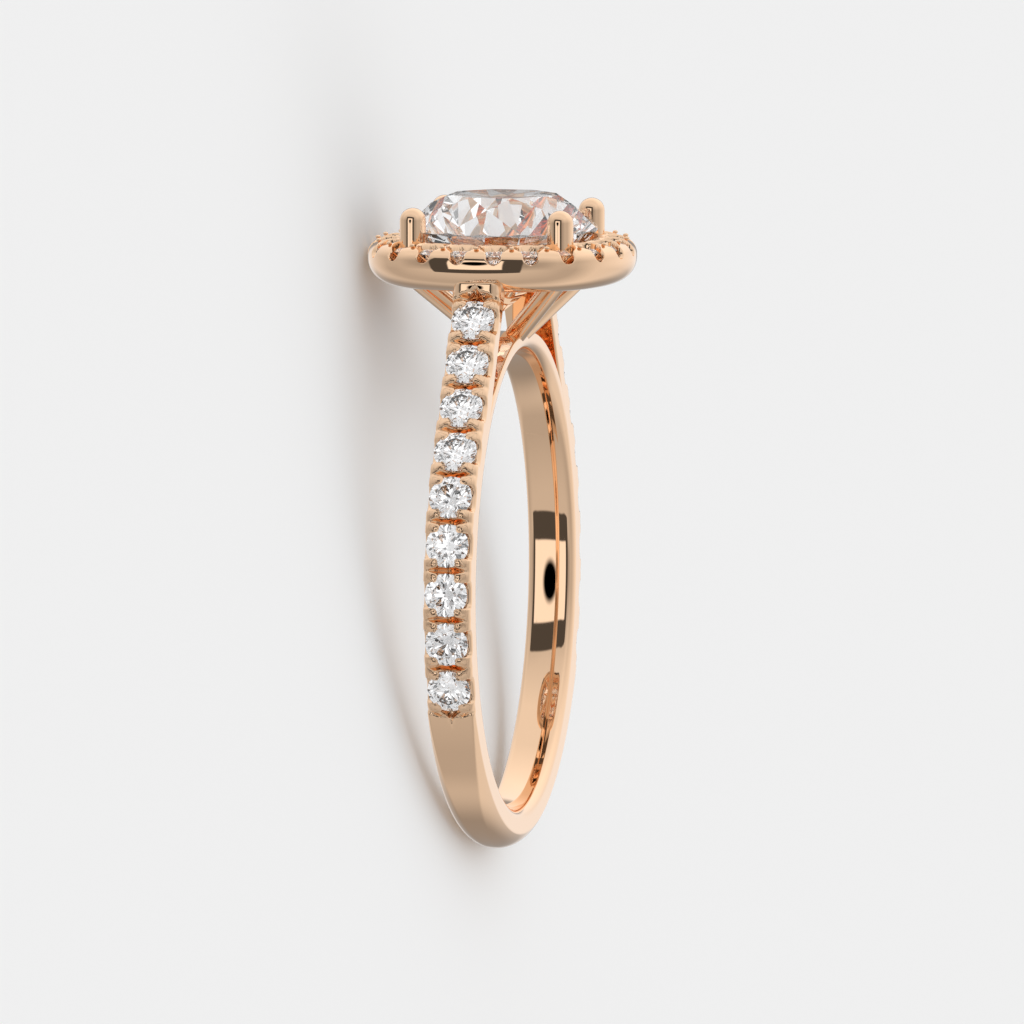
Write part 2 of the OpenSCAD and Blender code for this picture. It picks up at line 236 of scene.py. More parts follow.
def grid_faces(rows, columns, close_rows=False, close_columns=False):
    """Quads of a grid of points kept row by row; a closed way joins its last line to its first."""
    r = np.arange(rows if close_rows else rows - 1)[:, None]
    c = np.arange(columns if close_columns else columns - 1)[None, :]
    r2 = (r + 1) % rows
    c2 = (c + 1) % columns
    quads = np.stack([r * columns + c, r * columns + c2, r2 * columns + c2, r2 * columns + c], 2)
    return quads.reshape(-1, 4)


def joined(parts):
    """Joins (points, faces) pairs into one pair."""
    points, faces, start = [], [], 0
    for p, f in parts:
        points.append(p)
        faces += [[int(i) + start for i in face] for face in f]
        start += len(p)
    return np.concatenate(points), faces


def capped_tube(sections):
    """A closed skin over equal rings of points: quads between them and one flat face at each
    end."""
    rings, count, _ = sections.shape
    points = sections.reshape(-1, 3)
    faces = grid_faces(rings, count, close_columns=True).tolist()
    faces.append(list(range(count))[::-1])
    faces.append(list(range((rings - 1) * count, rings * count)))
    return points, faces


def ball(centre, radii, around=14, up=9):
    """An ellipsoid: rings at even angles from pole to pole, with a tiny flat face at each."""
    t = np.linspace(np.pi - 0.02, 0.02, up)[:, None]
    a = np.linspace(0, 2 * np.pi, around, endpoint=False)[None, :]
    ring = np.stack([np.sin(t) * np.cos(a), np.sin(t) * np.sin(a), np.cos(t) + 0 * a], 2)
    return capped_tube(ring * radii + centre)


# The band's path: s is the run along its outer line, 0 where the arm leaves the circle


def path_point(s):
    """Outer point and outward direction at run s: the circle below 0, the arm's line above."""
    a = ARM_ANGLE + np.minimum(s, 0) / OUTER_R
    run = np.maximum(s, 0)
    out = np.stack([np.cos(a), 0 * a, np.sin(a)], -1)
    along = np.stack([-np.sin(a), 0 * a, np.cos(a)], -1)
    return OUTER_R * out + run[..., None] * along, out, along


def stone_runs():
    """Runs of the shoulder stones, from the arm's top down."""
    return ARM_LEN - SHOULDER_TOP - np.arange(SHOULDER_COUNT) * SHOULDER_PITCH


def soft_max(a, b, soft):
    """The larger of two depths, with the step between them rounded over the width soft."""
    h = np.clip(0.5 + 0.5 * (a - b) / soft, 0, 1)
    return b + (a - b) * h + soft * h * (1 - h) * 0.5


def edge_depth(y, half, r):
    """Depth of a rounded edge: a quarter circle over the last r of the half-width."""
    over = np.clip(np.abs(y) - (half - r), 0, r)
    return r - np.sqrt(r * r - over * over)


def scallop_depth(s):
    """Depth of the cuts beside the stones: flat for most of a stone's width, with steep ends."""
    off = np.abs(s[:, None] - stone_runs()[None, :]).min(1)
    return SCALLOP_DEPTH * np.sqrt(np.clip(1 - (off / SCALLOP_HALF_L) ** 4, 0, None))


def groove_off(s, count):
    """Distance of each run from the nearest of so many lines: half a pitch above the highest
    stone, and from there down one pitch after another."""
    middles = stone_runs()[0] + SHOULDER_PITCH * (0.5 - np.arange(count))
    return np.abs(s[:, None] - middles[None, :]).min(1)[:, None]


def groove_depth(s, y):
    """Depth of the lens-shaped cuts across the band between stones, a V whose width swells, and
    of the two slanting leaf-shaped cuts below the lowest stone."""
    half = GROOVE_W / 2 * (1 - (y / GROOVE_HALF_L) ** 2)
    lens = GROOVE_SLOPE * (half - groove_off(s, SHOULDER_COUNT))
    y = np.abs(y) - LEAF_MIDDLE
    leaf_off = np.abs(s[:, None] - (stone_runs()[-1] - LEAF_OFF + LEAF_RISE * y))
    leaf = GROOVE_SLOPE * (LEAF_HALF_W * (1 - (y / LEAF_HALF_L) ** 2) - leaf_off)
    return np.clip(np.maximum(lens, leaf), 0, None)


def ridge_height(s, y):
    """Height of the metal on either side of each groove: a low ridge, and on it two round crests
    that fall away with a steady slope towards the band's edges and its middle line."""
    past = (groove_off(s, SHOULDER_COUNT + 1) - RIDGE_OFF) / RIDGE_HALF_L
    along = np.clip(1 - past**2, 0, None)
    fade = np.where(past < 0, 1, np.clip(3 * along, 0, 1))
    off = np.abs(y) - CREST_ACROSS
    crest = CREST_SLOPE * (CREST_SOFT - np.sqrt(off**2 + CREST_SOFT**2))
    below_top = stone_runs()[0] + SHOULDER_PITCH / 2 - s
    above_end = s - stone_runs()[-1] + SHOULDER_PITCH / 2
    in_row = np.clip(above_end / ROW_FADE + 0.5, 0, 1) * (below_top > 0)
    return (RIDGE_H * along + crest) * fade * (in_row * in_row * (3 - 2 * in_row))[:, None]


def post_height(s, y):
    """How far an arm's end rises to the post's upright face, measured at right angles to the
    arm's line: the face bows both ways, and its sides and top turn back in quarter circles."""
    foot, out, along = path_point(np.array([0.0]))
    x = foot[0, 0] + along[0, 0] * s[:, None]
    z = foot[0, 2] + along[0, 2] * s[:, None]
    face = POST_FACE - y**2 / 2 / POST_BOW_R - edge_depth(y, HALF_W, POST_EDGE_R)
    high = z + out[0, 2] * np.clip((face - x) / out[0, 0], 0, None) - HALO_BOTTOM
    over = np.clip(high - POST_ROUND_R, 0, POST_ROUND_R)
    face = face - (high - POST_DOME_Z) ** 2 / 2 / POST_DOME_R
    face = face - POST_ROUND_R + np.sqrt(POST_ROUND_R**2 - over**2)
    rise = np.minimum((face - x) / out[0, 0], (POST_TOP - z) / out[0, 2])
    return np.where(s[:, None] > 0, np.clip(rise, 0, None), 0)


def pit_depth(s, y):
    """Depth of the pointed pits beyond a row's two end stones: triangles that narrow away from
    the stone, deepest along their middle line."""
    runs = stone_runs()
    top = (s - runs[0] - PIT_START)[:, None]
    low = (runs[-1] - PIT_START - s)[:, None]
    half = np.where(top > low, PIT_HALF_W_TOP * (1 - top / PIT_LENGTH_TOP),
                    PIT_HALF_W_LOW * (1 - low / PIT_LENGTH_LOW))
    pit = np.clip(PIT_SLOPE * (half - np.abs(y)), 0, PIT_DEPTH)
    return np.where(np.maximum(top, low) > -PIT_OVERLAP, pit, 0)


def seat_depth(points, y):
    """Depth of the stones' seats: a steep bevel and, inside it, the pavilion's cone. Where there
    is no seat the depth is far above the surface."""
    rim = SHOULDER_R + SEAT_GAP
    floor = SHOULDER_SINK + GIRDLE * SHOULDER_R + SEAT_GAP
    depth = np.full(points.shape[:2], -OUTER_R)
    middles, outs, alongs = path_point(stone_runs())
    for middle, out, along in zip(middles, outs, alongs):
        near = np.abs((points[:, 0] - middle) @ along) < 1.5 * SHOULDER_R
        near &= np.linalg.norm(points[:, 0] - middle, axis=1) < 2 * SHOULDER_R
        d = points[near] - middle
        across = np.hypot(d @ along, y)
        cone = floor + (rim - across) * 2 * PAVILION
        bevel = floor * (rim + SEAT_BEVEL - across) / SEAT_BEVEL
        cut = np.where(across < rim, cone, bevel) + d @ out
        depth[near] = np.maximum(depth[near], cut)
    return depth


def foot_depth(s, y):
    """Depth of the round back at the foot: a ring of circle section, raised by FOOT_FADE."""
    a = ARM_ANGLE + np.minimum(s, 0)[:, None] / OUTER_R
    far = FOOT_OUT + FOOT_FADE - FOOT_R + np.sqrt(FOOT_R**2 - y * y)
    r = FOOT_FADE * np.sin(a) + np.sqrt(far * far - (FOOT_FADE * np.cos(a)) ** 2)
    return np.where(a < 0, np.clip(OUTER_R - r, 0, None), 0)


def band_runs():
    """Runs from the foot up one side: wide steps where it is plain, fine ones from below the
    lowest stone to where the arm is inside the halo, and three close together where the circle
    ends, because the inner face steps there."""
    foot = -(ARM_ANGLE + np.pi / 2) * OUTER_R
    last = stone_runs()[-1] - 0.62 * SHOULDER_PITCH
    first = ARM_LEN + 0.6
    plain = np.linspace(foot, last, 46)[:-1]
    fine = np.linspace(last, first, 460)[:-1]
    top = np.linspace(first, ARM_LEN + ARM_IN, 4)
    seam = [-0.003, 0, 0.003]
    return np.sort(np.concatenate([plain, fine, top, seam]))


def band_half():
    """The grid of one half of the band and its arm: runs from foot to halo, and the loop of the
    cross-section at each: outer face, edge, side, comfort edge, inner face and back."""
    s = band_runs()
    half = HALF_W
    flat = np.linspace(-(half - EDGE_R), half - EDGE_R, 38)
    round_y = half - EDGE_R + EDGE_R * np.sin(np.linspace(0, np.pi / 2, 6))[1:]
    y = np.concatenate([-round_y[::-1], flat, round_y])
    outer, out, _ = path_point(s)
    spread = np.repeat(outer[:, None, :], len(y), 1)
    depth = scallop_depth(s)[:, None] + edge_depth(y, half, EDGE_R)[None, :]
    depth = soft_max(depth, groove_depth(s, y[None, :]), GROOVE_SOFT)
    depth = soft_max(depth, foot_depth(s, y[None, :]), FOOT_SOFT)
    depth = depth - ridge_height(s, y[None, :])
    depth = depth - post_height(s, y[None, :]) + pit_depth(s, y[None, :])
    depth = np.maximum(depth, seat_depth(spread, y[None, :]))
    top = np.stack([depth, np.broadcast_to(y, depth.shape)], 2)
    on_arm = s > 0
    thick = np.where(on_arm, ARM_T + (ARM_TIP_T - ARM_T) * s / ARM_LEN, BAND_T)
    corner = np.where(on_arm, ARM_EDGE_R, COMFORT_R)
    dome = np.where(on_arm, 0, 1 / COMFORT_DOME_R)
    side_t = np.linspace(0, 1, 8)[1:]
    turn = np.linspace(0, np.pi / 2, 8)[1:]
    low_edge = thick - corner - dome * (half - corner) ** 2 / 2
    side_d = depth[:, -1:] + (low_edge - depth[:, -1])[:, None] * side_t
    side = np.stack([side_d, np.full_like(side_d, half)], 2)
    bend_d = low_edge[:, None] + corner[:, None] * np.sin(turn)
    bend_y = (half - corner)[:, None] + corner[:, None] * np.cos(turn)
    bend = np.stack([bend_d, bend_y], 2)
    in_y = (half - corner)[:, None] * np.linspace(1, -1, 12)[1:-1]
    inner = np.stack([thick[:, None] - dome[:, None] * in_y**2 / 2, in_y], 2)
    mirrored = np.concatenate([side, bend], 1)[:, ::-1] * [1, -1]
    loop = np.concatenate([top, side, bend, inner, mirrored], 1)
    points = outer[:, None, :] - loop[:, :, :1] * out[:, None, :]
    points[:, :, 1] = loop[:, :, 1]
    return points


def band_and_arms():
    """Both halves as one skin: the second is the first mirrored in X and run backwards."""
    right = band_half()
    left = right[1:][::-1] * [-1, 1, 1]
    return capped_tube(np.concatenate([left, right])[:, ::-1])


def bridge():
    """The bridge over the finger: its cross-section carried round from arm to arm. It starts
    inside the band's ends, a hair behind their inner faces."""
    half = HALF_W - HAIR
    inner = FINGER_R + HAIR
    turn = np.linspace(0, np.pi / 2, 8)
    dome = (half - COMFORT_R) ** 2 / 2 / COMFORT_DOME_R
    low = inner + COMFORT_R + dome
    inner_y = np.linspace(-(half - COMFORT_R), half - COMFORT_R, 12)[1:-1]
    right_r = np.concatenate([inner + inner_y**2 / 2 / COMFORT_DOME_R,
                              low - COMFORT_R * np.cos(turn),
                              BRIDGE_R - BRIDGE_EDGE_R * (1 - np.sin(turn))])
    right_y = np.concatenate([inner_y,
                              half - COMFORT_R + COMFORT_R * np.sin(turn),
                              half - BRIDGE_EDGE_R * (1 - np.cos(turn))])
    left_r = right_r[len(inner_y):][::-1]
    left_y = -right_y[len(inner_y):][::-1]
    r = np.concatenate([right_r, left_r])
    y = np.concatenate([right_y, left_y])
    first = ARM_ANGLE - BRIDGE_LET_IN / OUTER_R
    a = np.linspace(first, np.pi - first, 104)[:, None]
    return capped_tube(np.stack([r * np.cos(a), y + 0 * a, r * np.sin(a)], 2))


def prong_plan():
    """Plan of a prong, as (run, across) points in rows: its free edge goes in to a rounded corner
    and out again, and each row runs from there towards the far corner, inside the band."""
    turn = np.linspace(0, np.pi / 2, 8)
    first = np.linspace(PRONG_OUT, PRONG_IN + PRONG_CORNER_R, 6)[:-1]
    last = np.linspace(PRONG_START + PRONG_CORNER_R, PRONG_END, 5)[1:]
    run = np.concatenate([np.full(5, PRONG_START),
                          PRONG_START + PRONG_CORNER_R * (1 - np.sin(turn)), last])
    across = np.concatenate([first, PRONG_IN + PRONG_CORNER_R * (1 - np.cos(turn)),
                             np.full(4, PRONG_IN)])
    edge = np.stack([run, across], 1)[:, None]
    share = np.concatenate([[0, 0.012, 0.04], np.linspace(0.08, 0.9, 13)])[None, :, None]
    return edge + (np.array([PRONG_END, PRONG_OUT]) - edge) * share


def prong(s, along_sign):
    """A prong over the rim of the stone at run s, on the positive side. Its top is the band's own
    surface, raised a little and rounded down at the free edge; its underside is the crown's."""
    plan = prong_plan()
    run, y = plan[..., 0], plan[..., 1]
    in_run = np.clip(PRONG_CORNER_R - (run - PRONG_START), 0, None)
    in_y = np.clip(PRONG_CORNER_R - (y - PRONG_IN), 0, None)
    inside = np.minimum(PRONG_CORNER_R - np.hypot(in_run, in_y), PRONG_EDGE_R)
    over = np.clip(PRONG_EDGE_R - inside, 0, PRONG_EDGE_R)
    edge_drop = PRONG_EDGE_R - np.sqrt(PRONG_EDGE_R**2 - over**2)
    fade_run = np.clip((run - PRONG_FADE_RUN) / (PRONG_END - PRONG_FADE_RUN), 0, 1)
    fade_y = np.clip((y - PRONG_FADE_ACROSS) / (PRONG_OUT - PRONG_FADE_ACROSS), 0, 1)
    fade = np.cos(fade_run * np.pi / 2) ** 2 * np.cos(fade_y * np.pi / 2) ** 2
    at = s + along_sign * run.ravel()
    cut = soft_max(edge_depth(y, HALF_W, EDGE_R).ravel()[:, None],
                   groove_depth(at, y.ravel()[:, None]), GROOVE_SOFT)
    ridge = ridge_height(at, y.ravel()[:, None])
    high = (ridge - cut).reshape(run.shape) - PRONG_SINK + PRONG_RISE * fade - edge_drop
    middle, out, along = (v[0] for v in path_point(np.array([s])))
    outer, outs, _ = path_point(at)
    outer, outs = outer.reshape(*run.shape, 3), outs.reshape(*run.shape, 3)
    far = np.hypot(run, y)
    crown = (SHOULDER_R - far) / (1 - TABLE) * 2 * CROWN
    low = np.where(far < SHOULDER_R, GIRDLE * SHOULDER_R - SHOULDER_SINK + crown, -0.15)
    low = low + PRONG_GAP
    under = middle + along_sign * run[..., None] * along + low[..., None] * out
    level = (outer - middle) @ out
    high = np.maximum(high, low - level + PRONG_SINK)
    top = outer + high[..., None] * outs
    top[..., 1] = y
    under[..., 1] = y
    return np.concatenate([top, under[:, ::-1]], 1)


def shoulder_prongs():
    """Four prongs over each shoulder stone."""
    parts = []
    for s in stone_runs():
        for along_sign in (-1, 1):
            points, faces = capped_tube(prong(s, along_sign)[::along_sign])
            back = [face[::-1] for face in faces]
            parts += [(points, faces), (points * [1, -1, 1], back), (points * [-1, 1, 1], back),
                      (points * [-1, -1, 1], faces)]
    return joined(parts)


# The halo: run is measured along the stones' line, inset from the widest line inwards


def halo_place(run, inset):
    """Plan point and outward angle: arcs of the bowed side, the corner and the next side."""
    quarter = np.floor(run / QUARTER)
    part = run - quarter * QUARTER
    side_a = part / (SIDE_R - HALO_INSET)
    corner_a = SIDE_TURN + (part - SIDE_RUN) / (CORNER_R - HALO_INSET)
    last_a = np.pi / 2 - (QUARTER - part) / (SIDE_R - HALO_INSET)
    first = part < SIDE_RUN
    corner = ~first & (part < SIDE_RUN + CORNER_RUN)
    a = np.where(first, side_a, np.where(corner, corner_a, last_a))
    cx = np.where(first, SIDE_C, np.where(corner, CORNER_C, 0))
    cy = np.where(first, 0, np.where(corner, CORNER_C, SIDE_C))
    r = np.where(corner, CORNER_R, SIDE_R) - inset
    q = quarter * np.pi / 2
    x = cx + r * np.cos(a)
    y = cy + r * np.sin(a)
    return x * np.cos(q) - y * np.sin(q), x * np.sin(q) + y * np.cos(q), a + q


def halo_cut(x, y, z):
    """Lowers the halo's upper side to the stones' seats and the round-ended wall notches."""
    seat_rim = HALO_STONE_R + SEAT_GAP
    girdle = HALO_TOP - HALO_SINK
    floor = girdle - GIRDLE * HALO_STONE_R - SEAT_GAP
    notch_z = HALO_TOP + NOTCH_W / 2 - NOTCH_DEPTH
    for step in np.arange(HALO_COUNT) + 0.5:
        px, py, a = halo_place(np.float64(step * HALO_PITCH), HALO_INSET)
        out = (x - px) * np.cos(a) + (y - py) * np.sin(a)
        side = (y - py) * np.cos(a) - (x - px) * np.sin(a)
        far = np.hypot(out, side)
        near = (far < 2) & (np.abs(side) < 0.6)
        cone = floor - (seat_rim - far) * 2 * PAVILION
        bevel = floor + (far - seat_rim) / HALO_LIP * (HALO_TOP - floor)
        seat = np.where(far < seat_rim, cone, bevel)
        inside = np.sqrt(np.maximum((NOTCH_W / 2) ** 2 - side**2, 0))
        flare = notch_z + (np.abs(side) - NOTCH_W / 2) / HALO_LIP * (HALO_TOP - notch_z)
        notch = np.where(np.abs(side) < NOTCH_W / 2, notch_z - inside, flare)
        notch = np.where(out > 0, notch, HALO_TOP + HALO_PITCH)
        cut = np.minimum(seat, notch)
        z = np.where(near, np.minimum(z, cut), z)
    return z


def halo_rise(run, inset):
    """What stands up from the halo's flat top: a low round ridge between every two stones, and a
    rim along the inner wall."""
    off = np.abs(run / HALO_PITCH - np.round(run / HALO_PITCH)) * HALO_PITCH
    ridge = np.cos(np.clip(off / HALO_RIDGE_HALF_L, 0, 1) * np.pi / 2) ** 2
    outer = np.clip(inset / HALO_INSET, 0, 1) ** 2
    inner = np.clip((inset - HALO_RIM_START) / HALO_RIM_RUN, 0, 1)
    rim = inner * inner * (3 - 2 * inner)
    return HALO_RIDGE_H * ridge * outer * (1 - rim) + HALO_RIM_H * rim


def halo_body():
    """The halo: its cross-section, a full curve below the widest line and another above it,
    carried round the outline, then let in from above."""
    under = HALO_W - HALO_FLAT
    t = np.linspace(0, np.pi / 2, 20)
    low_in = under - under * np.sin(t) ** (2 / HALO_FULL)
    low_z = HALO_BELLY - HALO_BELLY * np.cos(t) ** (2 / HALO_FULL)
    t = np.linspace(0, np.pi / 2, 46)[1:]
    up_in = HALO_LEAN - HALO_LEAN * np.cos(t) ** (2 / HALO_TOP_FULL)
    up_z = HALO_BELLY + (HALO_H - HALO_BELLY) * np.sin(t) ** (2 / HALO_TOP_FULL)
    top_in = np.linspace(HALO_LEAN, HALO_W - HALO_BEVEL, 12)[1:]
    wall_z = np.linspace(HALO_H + HALO_RIM_H - HALO_BEVEL, HALO_BEVEL, 7)
    inset = np.concatenate([low_in, up_in, top_in, np.full(len(wall_z), HALO_W),
                            [HALO_W - HALO_BEVEL]])
    z = np.concatenate([low_z, up_z, np.full(len(top_in), HALO_H), wall_z, [0]]) + HALO_BOTTOM
    run = np.arange(HALO_COUNT * 42)[:, None] * HALO_PITCH / 42
    x, y, _ = halo_place(run, inset[None, :])
    z = np.broadcast_to(z, x.shape).copy()
    upper = slice(len(low_in), len(low_in) + len(up_in) + len(top_in))
    z[:, upper] += halo_rise(run, inset[None, upper])
    z[:, upper] = halo_cut(x[:, upper], y[:, upper], z[:, upper])
    points = np.stack([x, y, z], 2).reshape(-1, 3)
    return points, grid_faces(*x.shape, close_rows=True, close_columns=True)[:, ::-1].tolist()


def halo_beads():
    """Two small balls between neighbouring halo stones, on either side of their line."""
    parts = []
    for step in range(HALO_COUNT):
        for off in (-HALO_BEAD_RUN, HALO_BEAD_RUN):
            x, y, _ = halo_place(np.float64(step * HALO_PITCH), HALO_INSET + off)
            parts.append(ball([x, y, HALO_TOP - HALO_BEAD_SINK], HALO_BEAD_RADII))
    return joined(parts)


def room_radius(z):
    """Radius of the room that the centre stone needs at height z: pavilion, girdle, crown."""
    half = GIRDLE * CENTRE_R + SEAT_GAP
    crown_z = GIRDLE_Z + half + 2 * CENTRE_CROWN * CENTRE_R
    up = np.clip((z - GIRDLE_Z - half) / (2 * CENTRE_CROWN * CENTRE_R), 0, 1)
    above = (CENTRE_R + SEAT_GAP) - up * CENTRE_R * (1 - TABLE)
    below = (CENTRE_R + SEAT_GAP) - (GIRDLE_Z - half - z) / (2 * PAVILION)
    r = np.where(z < GIRDLE_Z - half, below, above)
    return np.where(z > crown_z, 0, np.maximum(r, 0))


def turned(points, turn):
    """Points turned round the head's axis."""
    c, s = np.cos(turn), np.sin(turn)
    return points @ np.array([[c, s, 0], [-s, c, 0], [0, 0, 1]])


def claw():
    """A round bar with a domed tip; where it would enter the centre stone it is pushed back
    from the head's axis to the stone's room."""
    t = np.linspace(0.03, np.pi / 2 - 0.02, 14)
    low = HALO_BOTTOM + ROD_R
    z = np.concatenate([np.linspace(low, CLAW_TOP - CLAW_R, 40)[:-1],
                        (CLAW_TOP - CLAW_R) + CLAW_R * np.sin(t)])
    r = np.concatenate([np.full(39, CLAW_R), CLAW_R * np.cos(t)])
    a = np.linspace(0, 2 * np.pi, 40, endpoint=False)[None, :]
    x = CLAW_XY + r[:, None] * np.cos(a)
    y = CLAW_XY + r[:, None] * np.sin(a)
    z = z[:, None] + 0 * a
    far = np.hypot(x, y)
    push = np.maximum(far, room_radius(z)) / far
    return capped_tube(np.stack([x * push, y * push, z], 2))


def claws():
    """The claw at one corner of the head, and turned to the other three."""
    points, faces = claw()
    return joined([(turned(points, quarter * np.pi / 2), faces) for quarter in range(4)])


def rod():
    """A round bar with ball ends, from the bridge up to its claw."""
    top_xy = CLAW_XY - ROD_IN
    top = np.array([top_xy, top_xy, HALO_BOTTOM + ROD_R])
    way = (top - ROD_FOOT) / np.linalg.norm(top - ROD_FOOT)
    side = np.cross(way, [0, 0, 1])
    side /= np.linalg.norm(side)
    other = np.cross(way, side)
    t = np.linspace(0.03, np.pi / 2, 10)
    length = np.linalg.norm(top - ROD_FOOT)
    run = np.concatenate([-ROD_R * np.cos(t), length + ROD_R * np.cos(t[::-1])])
    r = np.concatenate([ROD_R * np.sin(t), ROD_R * np.sin(t[::-1])])
    a = np.linspace(0, 2 * np.pi, 32, endpoint=False)[None, :, None]
    rings = ROD_FOOT + run[:, None, None] * way
    rings = rings + r[:, None, None] * (np.cos(a) * side + np.sin(a) * other)
    return capped_tube(rings[:, ::-1])


def basket_rods():
    """The rod at one corner and at the opposite one, and both mirrored to the other two."""
    points, faces = rod()
    back = [face[::-1] for face in faces]
    return joined([(points, faces), (turned(points, np.pi), faces),
                   (points * [-1, 1, 1], back), (points * [1, -1, 1], back)])


def brilliant(r, crown_share):
    """A round brilliant of 57 flat facets whose upper and lower halves meet the round girdle in
    waves: each is a plane, and its edge at the girdle is where that plane cuts the cylinder."""
    half = GIRDLE * r
    table_z = half + 2 * crown_share * r
    culet_z = -half - 2 * PAVILION * r
    table_r = TABLE * r
    star_r = (table_r * np.cos(np.pi / 8) + r) / 2
    star_z = half + (table_z - half) * (r - star_r * np.cos(np.pi / 8)) / (r - table_r)
    break_r = 2 * PAVILION_BREAK * r
    break_z = culet_z + (-half - culet_z) * break_r * np.cos(np.pi / 8) / r
    eighth = np.pi / 4
    per = 4

    def ring(radius, z, start):
        a = start + np.arange(8) * eighth
        return np.stack([radius * np.cos(a), radius * np.sin(a), np.full(8, z)], 1)

    def waves(inner, z):
        """Girdle points where the planes through an inner point and two girdle corners cut it."""
        a = np.arange(16 * per) * np.pi / 8 / per
        sector = np.floor(a / (np.pi / 8) + 1e-9).astype(int)
        a0 = sector * np.pi / 8
        a1 = a0 + np.pi / 8
        p = inner[sector // 2 % 8]
        p0 = np.stack([r * np.cos(a0), r * np.sin(a0), np.full(len(a), z)], 1)
        p1 = np.stack([r * np.cos(a1), r * np.sin(a1), np.full(len(a), z)], 1)
        n = np.cross(p0 - p, p1 - p)
        q = np.stack([r * np.cos(a), r * np.sin(a)], 1)
        height = p[:, 2] - ((q - p[:, :2]) * n[:, :2]).sum(1) / n[:, 2]
        return np.concatenate([q, height[:, None]], 1)

    table = ring(table_r, table_z, 0)
    star = ring(star_r, star_z, np.pi / 8)
    low = ring(break_r, break_z, np.pi / 8)
    upper = waves(star, half)
    lower = waves(low, -half)
    points = np.concatenate([table, star, upper, lower, low, [[0, 0, culet_z]]])
    s, u, l, b, c = 8, 16, 16 + 16 * per, 16 + 32 * per, 24 + 32 * per
    n = 16 * per
    faces = [list(range(8))]
    for i in range(8):
        j = (i + 1) % 8
        k = (i + 7) % 8
        g = 2 * per * i
        faces += [
            [i, s + i, j],
            [i, s + k, u + g, s + i],
            [s + i] + [u + (g + m) % n for m in range(per + 1)],
            [s + i] + [u + (g + per + m) % n for m in range(per + 1)],
            [b + i] + [l + (g + m) % n for m in range(per, -1, -1)],
            [b + i] + [l + (g + per + m) % n for m in range(per, -1, -1)],
            [l + g, b + i, c, b + k],
        ]
    girdle = [[u + m, l + m, l + (m + 1) % n, u + (m + 1) % n] for m in range(n)]
    return points, faces, girdle


# Materials

HAZE_PER_MM = 1.4
HAZE_ROUGH = (0.015, 0.05)
DIAMOND_IOR = 2.417
GROUND_ROUGH = 0.25


def linear(code):
    """Turns an sRGB hex value into linear colour with full cover."""
    v = np.array([int(code[i:i + 2], 16) for i in (1, 3, 5)]) / 255
    v = np.where(v <= 0.04045, v / 12.92, ((v + 0.055) / 1.055) ** 2.4)
    return (*v.tolist(), 1.0)


def add(tree, kind, settings=None, links=None):
    """Adds one node, sets its sockets and properties, and links outputs into its sockets."""
    node = tree.nodes.new(kind)
    for key, value in (settings or {}).items():
        if isinstance(key, str) and hasattr(node, key):
            setattr(node, key, value)
        else:
            node.inputs[key].default_value = value
    for key, output in (links or {}).items():
        tree.links.new(output, node.inputs[key])
    return node


def new_material(name):
    """An empty node material with its output and principled shader."""
    material = bpy.data.materials.new(name)
    material.use_nodes = True
    tree = material.node_tree
    tree.nodes.clear()
    shader = add(tree, "ShaderNodeBsdfPrincipled")
    output = add(tree, "ShaderNodeOutputMaterial")
    tree.links.new(shader.outputs["BSDF"], output.inputs["Surface"])
    return material, tree, shader


def rose_gold():
    """Rose gold, cast and mirror polished: warm copper-pink reflections, nearly sharp, with the
    faint uneven haze that a polishing mop leaves."""
    material, tree, shader = new_material("polished_rose_gold")
    shader.inputs["Base Color"].default_value = linear("#FBD4B0")
    shader.inputs["Metallic"].default_value = 1.0
    place = add(tree, "ShaderNodeTexCoord")
    haze = add(tree, "ShaderNodeTexNoise", {"Scale": HAZE_PER_MM / METRE, "Detail": 2.0},
               {"Vector": place.outputs["Object"]})
    rough = add(tree, "ShaderNodeMapRange", {"To Min": HAZE_ROUGH[0], "To Max": HAZE_ROUGH[1]},
                {"Value": haze.outputs["Fac"]})
    tree.links.new(rough.outputs["Result"], shader.inputs["Roughness"])
    return material


def diamond(name, rough):
    """Diamond: clear, with bright reflections and strong refraction. Facets are polished to a
    sharp gloss; a girdle is only ground, so it looks frosted."""
    material, tree, shader = new_material(name)
    shader.inputs["Base Color"].default_value = linear("#FCFCFD")
    shader.inputs["Transmission Weight"].default_value = 1.0
    shader.inputs["IOR"].default_value = DIAMOND_IOR
    shader.inputs["Roughness"].default_value = rough
    return material


# Pieces

GOLD = rose_gold()
DIAMOND = diamond("polished_diamond", 0.0)
GIRDLE_FROST = diamond("ground_diamond_girdle", GROUND_ROUGH)


def metal(name, shape):
    """A gold piece that stands for part of the metal node."""
    return make_piece(name, *shape, GOLD, ["shank_and_setting"])


def centre_stone():
    """The centre stone with its frosted girdle as a second material."""
    points, facets, girdle = brilliant(CENTRE_R, CENTRE_CROWN)
    points = turned(points, CENTRE_TURN) + [0, 0, GIRDLE_Z]
    piece = make_piece("centre_brilliant", points, facets + girdle, DIAMOND,
                       ["centre_stone"], smooth=False)
    piece.data.materials.append(GIRDLE_FROST)
    slots = np.repeat([0, 1], [len(facets), len(girdle)])
    piece.data.polygons.foreach_set("material_index", slots)
    return piece


def small_stones():
    """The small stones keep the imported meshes, with the material and flat facets."""
    for name, node in frame["nodes"].items():
        if "shoulder_stone" in name or "halo_stone" in name:
            node.data.materials.clear()
            node.data.materials.append(DIAMOND)
            node.data.polygons.foreach_set("use_smooth", np.zeros(len(node.data.polygons), bool))


metal("band_and_arms", band_and_arms())
metal("bridge", bridge())
metal("shoulder_prongs", shoulder_prongs())
metal("halo", halo_body())
metal("halo_beads", halo_beads())
metal("claws", claws())
metal("basket_rods", basket_rods())
centre_stone()
small_stones()

# Camera: the photo's direction, far away with a long lens, upright with the ring

